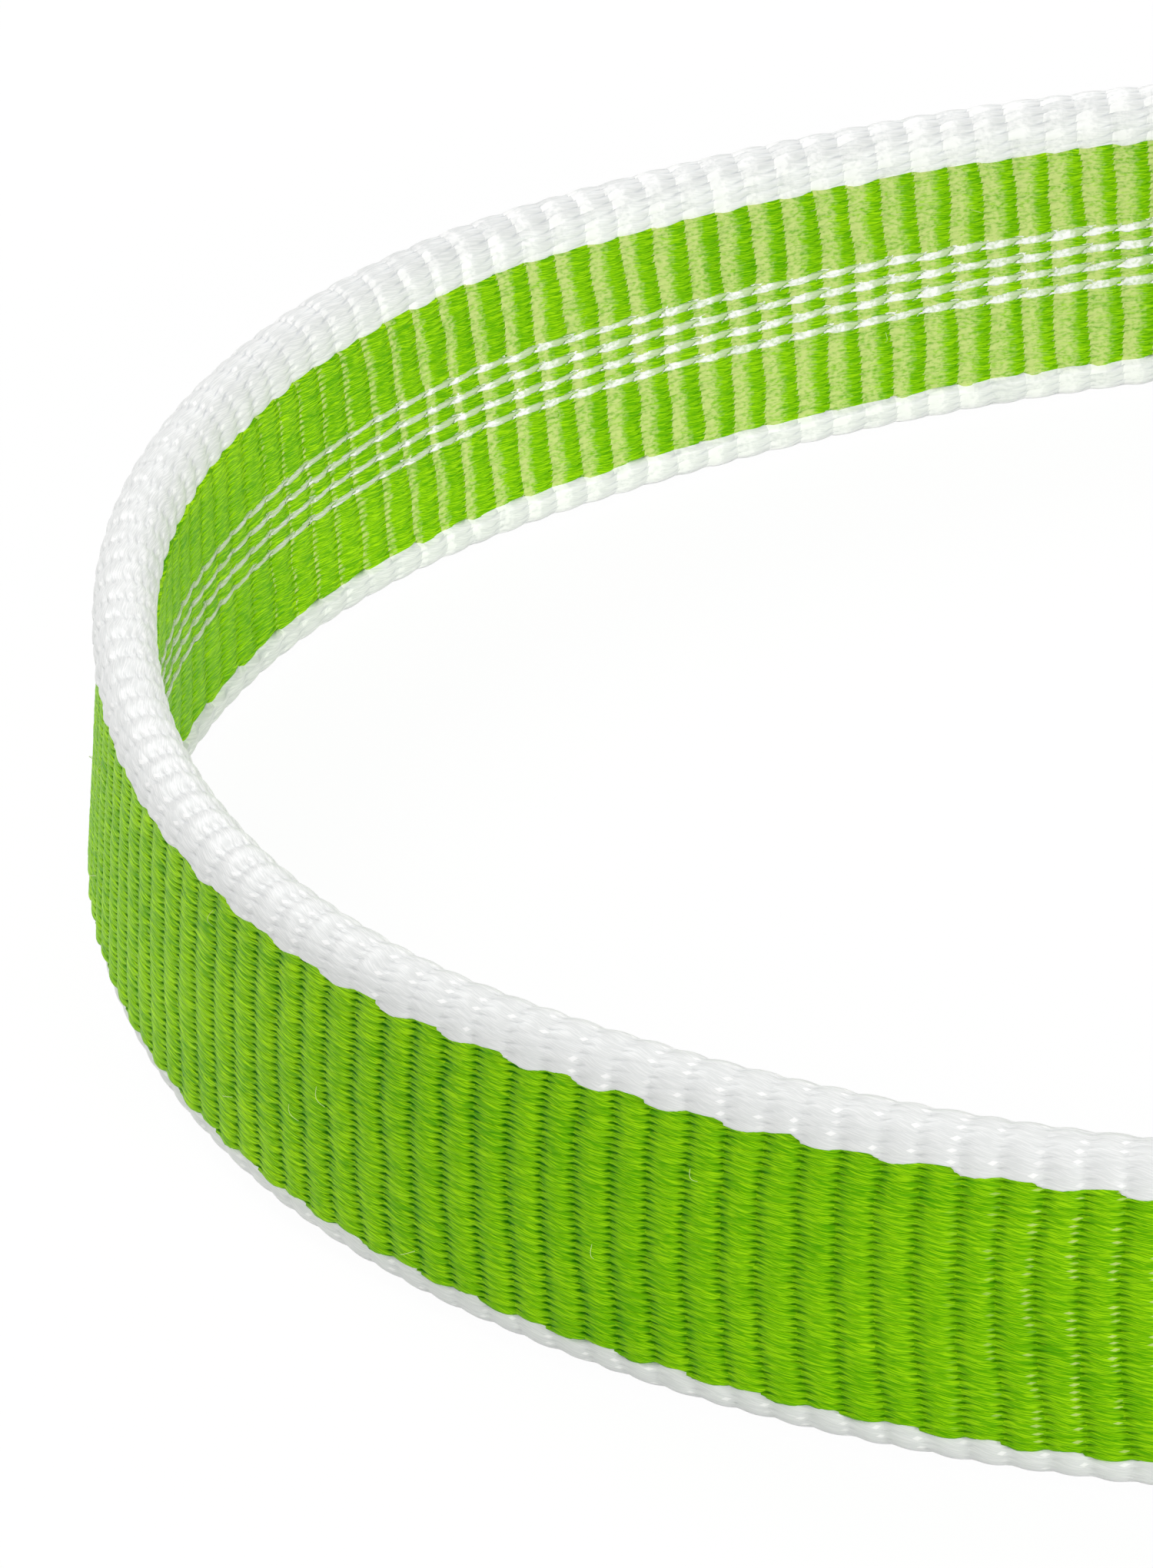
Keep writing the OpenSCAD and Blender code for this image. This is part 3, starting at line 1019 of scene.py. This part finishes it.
def ribs_bow(webbing, outer):
    """How far the ribs bow, in ribs; those of the inner face hardly do."""
    share = 1 if outer else 0.2
    return webbing.bow / webbing.rib_pitch * share


class SLING_OT_rolled_edges(bpy.types.Operator):
    """Weaves the two rolled edges"""

    bl_idname = "sling.rolled_edges"
    bl_label = "Rolled edges"

    def execute(self, context):
        scene = context.scene
        stretches = three_stretches(scene, FINE_EDGE)
        for i, stretch in enumerate(stretches):
            per_end = 5 if stretch[3] else 1.5
            piece = roll(scene, f"upper_roll_{i + 1}", per_end, [stretch], True)
            place_piece(piece, "edge_yarn",
                        *(["upper_edge", "upper_filler"] if i == 1 else []))
        lower = roll(scene, "lower_roll", 2.6, stretches, False)
        place_piece(lower, "edge_yarn", "lower_edge", "lower_filler")
        return {"FINISHED"}


def roll(scene, name, per_end, stretches, upper):
    """A length of a rolled edge, with so many points of its section to an end."""
    webbing = scene.sling_webbing
    start = FACE_ENDS + BORDER_LAP + (0 if upper else SIDE_ENDS)
    steps = (OUTER_STEP, INNER_STEP) if upper else (INNER_STEP, OUTER_STEP)
    return woven_piece(
        scene, name, edge_section(webbing, per_end, upper), stretches, edge_material(),
        Rib_height=webbing.edge_rib_height, Float_height=webbing.edge_float_height,
        Gap=webbing.edge_gap, Lower_border=start,
        Upper_border=start + EDGE_ENDS - 2 * BORDER_LAP + (INNER_DROP if upper else 0.0),
        Lower_step=steps[0], Upper_step=steps[1], First_step=1.5)


class SLING_OT_tracer_threads(bpy.types.Operator):
    """Lays the tracer threads, each a white end woven into the inner face"""

    bl_idname = "sling.tracer_threads"
    bl_label = "Tracer threads"

    def execute(self, context):
        scene = context.scene
        webbing = scene.sling_webbing
        stretches, half_end = three_stretches(scene, FINE_INNER), 0.5
        for i in range(TRACERS):
            end = SIDE_ENDS + (i - (TRACERS - 1) / 2) * TRACER_STEP + half_end
            thread = woven_piece(
                scene, f"tracer_{i + 1}", tracer_section(webbing, end), stretches,
                tracer_material(), TRACER_NARROW, Rib_height=webbing.inner_rib_height,
                Gap=webbing.tracer_gap, Stagger=0.0, Only=end, All=0.0,
                Middle_end=float(SIDE_ENDS), Bow=ribs_bow(webbing, False))
            place_piece(thread, "tracer_yarn", f"tracer_thread_{TRACERS - i}")
        return {"FINISHED"}


class SLING_OT_bar_tacks(bpy.types.Operator):
    """Sews the bar tacks, dense satin stitches on both faces of the lap"""

    bl_idname = "sling.bar_tacks"
    bl_label = "Bar tacks"

    def execute(self, context):
        scene = context.scene
        webbing, route = scene.sling_webbing, Route(scene)
        twist = 0.45 * MM
        material = twisted_material("sewing thread", scene.sling_yarn.sewing, twist)
        stitch = stitch_object(webbing, material)
        count = int(round(webbing.tack_length / webbing.stitch_pitch)) + 1
        ups = np.linspace(-0.5, 0.5, count) * (webbing.tack_length - webbing.stitch_pitch)
        faces = webbing.half_thickness, -webbing.half_thickness - scene.sling_loop.lap_step
        for i in range(TACKS):
            along = webbing.tack_margin + i * webbing.tack_pitch
            pads = []
            for side, out in enumerate(faces):
                points = np.concatenate([route.points(along, out, up) for up in ups])
                line = line_mesh("line", points)
                pads.append(made_plain(
                    f"pad_{i}_{side}", tree_of("Satin stitches", stitch_tree), {
                        "Line": line, "Stitch": stitch, "Turn": side * math.pi,
                        "Seed": 10 * i + side, "Material": material}))
                discard(line)
            place_piece(joined(f"tack_stitches_{i + 1}", pads), "sewing_thread",
                        f"bar_tack_{i + 1}")
        discard(stitch)
        return {"FINISHED"}


def stitch_object(webbing, material):
    """One stitch: a thread that comes up out of the webbing, lies across it and goes down."""
    half, radius = webbing.tack_width / 2, 0.56 * webbing.stitch_pitch
    rise, sunk, slant = 0.62 * webbing.tack_height, 0.1 * MM, 0.16 * webbing.stitch_pitch
    flatness, points = 0.7, 9
    turn = np.linspace(0, math.pi, points)
    x = -half * np.cos(turn)
    y = -rise * np.sin(turn) ** flatness + sunk
    line = line_mesh("line", np.column_stack([x, y, slant * x / half]))
    stitch = made_plain("stitch", tree_of("Thread", thread_tree), {
        "Line": line, "Radius": radius, "Sides": 6, "Material": material})
    discard(line)
    return stitch


def joined(name, pieces):
    """One mesh object made of several."""
    mesh = bpy.data.meshes.new(name)
    both = bmesh.new()
    for piece in pieces:
        both.from_mesh(piece.data)
    both.to_mesh(mesh)
    both.free()
    mesh.materials.append(pieces[0].data.materials[0])
    mesh.shade_smooth()
    discard(*pieces)
    return linked(name, mesh)


class SLING_OT_sealed_ends(bpy.types.Operator):
    """Melts the two cut ends of the strip into a bead"""

    bl_idname = "sling.sealed_ends"
    bl_label = "Sealed ends"

    def execute(self, context):
        scene = context.scene
        route, webbing = Route(scene), scene.sling_webbing
        for i, (along, way) in enumerate(((0.0, -1), (route.length, 1))):
            place_piece(sealed_end(webbing, route, along, way, f"sealed_end_{i + 1}"),
                        "face_yarn")
        return {"FINISHED"}


# Rings of a sealed end's bead: how far past the strip's end, in millimetres, and their size.
BEAD_RINGS = ((-0.5, 0.96), (-0.3, 1.02), (0.0, 1.06), (0.25, 1.0), (0.42, 0.8), (0.5, 0.45))


def sealed_end(webbing, route, along, way, name):
    """A bead over the end of the strip: rings of the webbing's outline that close over it."""
    skin, lumpiness, corners = 0.12 * MM, 0.05, 48
    round_, middle = webbing.edge_radius + skin, webbing.edge_middle
    turn = np.linspace(0, 2 * math.pi, corners, endpoint=False)
    out = round_ * np.cos(turn)
    up = round_ * np.sin(turn) + np.where(np.sin(turn) >= 0, 1, -1) * middle
    x, y, heading = route.at(along)[0]
    bead = bmesh.new()
    rings = []
    for reach, size in BEAD_RINGS:
        ring = []
        for k in range(corners):
            lump = lumpiness * math.sin(5 * turn[k] + along * 40) * MM
            o = out[k] * size + lump
            u = max(up[k] - math.copysign((1 - size) * round_, up[k]), -route.lift)
            forward = way * (reach * MM + lump)
            ring.append(bead.verts.new((
                x + o * math.sin(heading) + forward * math.cos(heading),
                y - o * math.cos(heading) + forward * math.sin(heading), route.lift + u)))
        rings.append(ring)
    for a, b in zip(rings, rings[1:]):
        for k in range(corners):
            n = (k + 1) % corners
            bead.faces.new((a[k], a[n], b[n], b[k]))
    for ring in (rings[0], rings[-1]):
        for k in range(corners // 2 - 1):
            bead.faces.new((ring[k], ring[k + 1], ring[-2 - k], ring[-1 - k]))
    bmesh.ops.recalc_face_normals(bead, faces=bead.faces)
    mesh = bpy.data.meshes.new(name)
    bead.to_mesh(mesh)
    bead.free()
    mesh.shade_smooth()
    mesh.materials.append(melted_material())
    return linked(name, mesh)


class SLING_OT_loose_filaments(bpy.types.Operator):
    """Scatters a few loose filaments that stand off the faces"""

    bl_idname = "sling.loose_filaments"
    bl_label = "Loose filaments"

    def execute(self, context):
        route, webbing = Route(context.scene), context.scene.sling_webbing
        random, count, radius = np.random.default_rng(7), 110, 0.014 * MM
        filaments = [filament(route, webbing, random) for _ in range(count)]
        breaks = np.cumsum([len(points) for points in filaments])
        line = line_mesh("line", np.concatenate(filaments), breaks=set(breaks))
        piece = made_plain("loose_filaments", tree_of("Thread", thread_tree), {
            "Line": line, "Radius": radius, "Sides": 4, "Material": hair_material()})
        discard(line)
        place_piece(piece, "edge_yarn")
        return {"FINISHED"}


def filament(route, webbing, random):
    """Points of a filament that stands off one of the faces in an arc and curls."""
    count, stand_off = 7, 0.25 * MM
    side = random.choice((-1, 1))
    t = np.linspace(0, 1, count)
    size = random.uniform(0.4, 1.3) * MM
    lean, curl = random.uniform(-1.2, 1.2), random.uniform(-1.5, 1.5)
    heading = math.pi / 2 + lean + curl * t
    along = random.uniform(0.08, 0.595) + np.cumsum(np.cos(heading)) * size / count
    up = random.uniform(-6, 5.5) * MM + np.cumsum(np.sin(heading)) * size / count
    out = side * (webbing.face_depth + webbing.rib_height + stand_off * np.sin(math.pi * t))
    return np.array([route.points(a, o, u)[0] for a, o, u in zip(along, out, up)])


def declare_cord(scene):
    """Works out points along the whole length of the strip, a flat cord, and does nothing
    more with them.
    """
    route, width, count = Route(scene), 16 * MM, 271
    path = route.points(np.linspace(0, route.length, count))


# ---------------------------------------------------------------- stage


# Soft lights round the object: name, direction and height in degrees, watts.
LIGHTS = [
    ("key", 315, 20, 7.9),
    ("front", 268, 24, 3.7),
    ("left", 180, 20, 1.8),
    ("back left", 135, 42, 5.6),
    ("back", 90, 27, 2.3),
    ("top", 0, 88, 3.4),
]

# Width of each light and its distance from the origin, in metres.
LIGHT_SIZE, LIGHT_DISTANCE = 0.5, 1.2


class SLING_OT_stage(bpy.types.Operator):
    """Makes the floor, the lights and the camera"""

    bl_idname = "sling.stage"
    bl_label = "Stage"

    def execute(self, context):
        context.scene.view_settings.view_transform = "Standard"
        aim_camera(context.scene)
        lay_floor()
        light_world(context.scene)
        for name, azimuth, elevation, power in LIGHTS:
            hang_light(name, direction(math.radians(azimuth), math.radians(elevation)), power)
        return {"FINISHED"}


def direction(heading, up):
    """A step of length 1 in that heading and at that angle over the horizon."""
    return Vector((math.cos(heading) * math.cos(up), math.sin(heading) * math.cos(up),
                   math.sin(up)))


def aim_camera(scene):
    """The camera, with the place, direction, roll and lens of its settings."""
    settings, sensor = scene.sling_camera, 36
    cam = bpy.data.cameras.new("camera")
    cam.sensor_fit = "AUTO"
    cam.sensor_width = sensor
    cam.lens = sensor * settings.focal
    cam.clip_start, cam.clip_end = 0.01, 10
    forward = direction(settings.heading, -settings.down)
    right = Vector((math.sin(settings.heading), -math.cos(settings.heading), 0))
    turn = Matrix((right, right.cross(forward), -forward)).transposed()
    scene.camera = linked("camera", cam)
    scene.camera.matrix_world = (
        Matrix.Translation(Vector(settings.place))
        @ (turn @ Matrix.Rotation(-settings.roll, 3, "Z")).to_4x4())


def is_seen(nodes):
    """1 for rays from the camera, also after a reflection or through something clear, and 0
    for those that only light things."""
    camera, glossy, clear = (
        nodes.add("ShaderNodeLightPath", None, None, key)
        for key in ("Is Camera Ray", "Is Glossy Ray", "Is Transmission Ray"))
    return nodes.maths("MINIMUM", camera + glossy + clear, 1)


def lay_floor():
    """A white floor that glows to the eye, so that only a faint shadow is left on it."""
    half, glowing = 3.0, 0.95
    mesh = bpy.data.meshes.new("floor")
    corners = [(-half, -half, 0), (half, -half, 0), (half, half, 0), (-half, half, 0)]
    mesh.from_pydata(corners, [], [(0, 1, 2, 3)])
    linked("floor", mesh)
    material = bpy.data.materials.new("floor")
    material.use_nodes = True
    nodes = Nodes(material.node_tree)
    paint = nodes.add("ShaderNodeBsdfDiffuse", None, {"Color": (0.9, 0.9, 0.9, 1)})
    glow = nodes.add("ShaderNodeEmission", None, {"Color": (1, 1, 1, 1), "Strength": 1.01})
    both = nodes.add("ShaderNodeMixShader", None, {
        0: is_seen(nodes) * glowing, 1: paint, 2: glow})
    nodes.add("ShaderNodeOutputMaterial", None, {"Surface": both})
    mesh.materials.append(material)


def light_world(scene):
    """A world that is white to the eye and gives little light."""
    scene.world = bpy.data.worlds.new("world")
    scene.world.use_nodes = True
    nodes = Nodes(scene.world.node_tree)
    dim, white = (
        nodes.add("ShaderNodeBackground", None, {"Color": (1, 1, 1, 1), "Strength": strength})
        for strength in (0.14, 1.0))
    both = nodes.add("ShaderNodeMixShader", None, {0: is_seen(nodes), 1: dim, 2: white})
    nodes.add("ShaderNodeOutputWorld", None, {"Surface": both})


def hang_light(name, away, power):
    """A soft round light in that direction, turned to the origin."""
    lamp = bpy.data.lights.new(name, "AREA")
    lamp.shape, lamp.size, lamp.energy = "DISK", LIGHT_SIZE, power
    light = linked(name, lamp)
    light.location = away * LIGHT_DISTANCE
    light.rotation_mode = "QUATERNION"
    light.rotation_quaternion = away.to_track_quat("Z", "Y")


# ---------------------------------------------------------------- panel and start


class SLING_PT_panel(bpy.types.Panel):
    """Lists the sling's settings and pieces"""

    bl_idname = "SLING_PT_panel"
    bl_label = "Sling"
    bl_space_type = "VIEW_3D"
    bl_region_type = "UI"
    bl_category = "Sling"

    def draw(self, context):
        for operator in OPERATORS:
            self.layout.operator(operator.bl_idname)
        for name in SETTINGS:
            settings = getattr(context.scene, name)
            for key in settings.__annotations__:
                self.layout.prop(settings, key)


OPERATORS = (
    SLING_OT_stage, SLING_OT_outer_layer, SLING_OT_inner_layer, SLING_OT_rolled_edges,
    SLING_OT_tracer_threads, SLING_OT_bar_tacks, SLING_OT_sealed_ends,
    SLING_OT_loose_filaments)
SETTINGS = {"sling_loop": LoopSettings, "sling_webbing": WebbingSettings,
            "sling_yarn": YarnSettings, "sling_camera": CameraSettings}


def register():
    for kind in (*SETTINGS.values(), *OPERATORS, SLING_PT_panel):
        bpy.utils.register_class(kind)
    for name, kind in SETTINGS.items():
        setattr(bpy.types.Scene, name, bpy.props.PointerProperty(type=kind))


def unregister():
    for name in SETTINGS:
        delattr(bpy.types.Scene, name)
    for kind in reversed((*SETTINGS.values(), *OPERATORS, SLING_PT_panel)):
        bpy.utils.unregister_class(kind)


def main():
    register()
    bpy.ops.sling.stage()
    bpy.ops.sling.outer_layer()
    bpy.ops.sling.inner_layer()
    bpy.ops.sling.rolled_edges()
    bpy.ops.sling.tracer_threads()
    bpy.ops.sling.bar_tacks()
    bpy.ops.sling.sealed_ends()
    bpy.ops.sling.loose_filaments()
    declare_cord(bpy.context.scene)


if __name__ == "__main__":
    main()
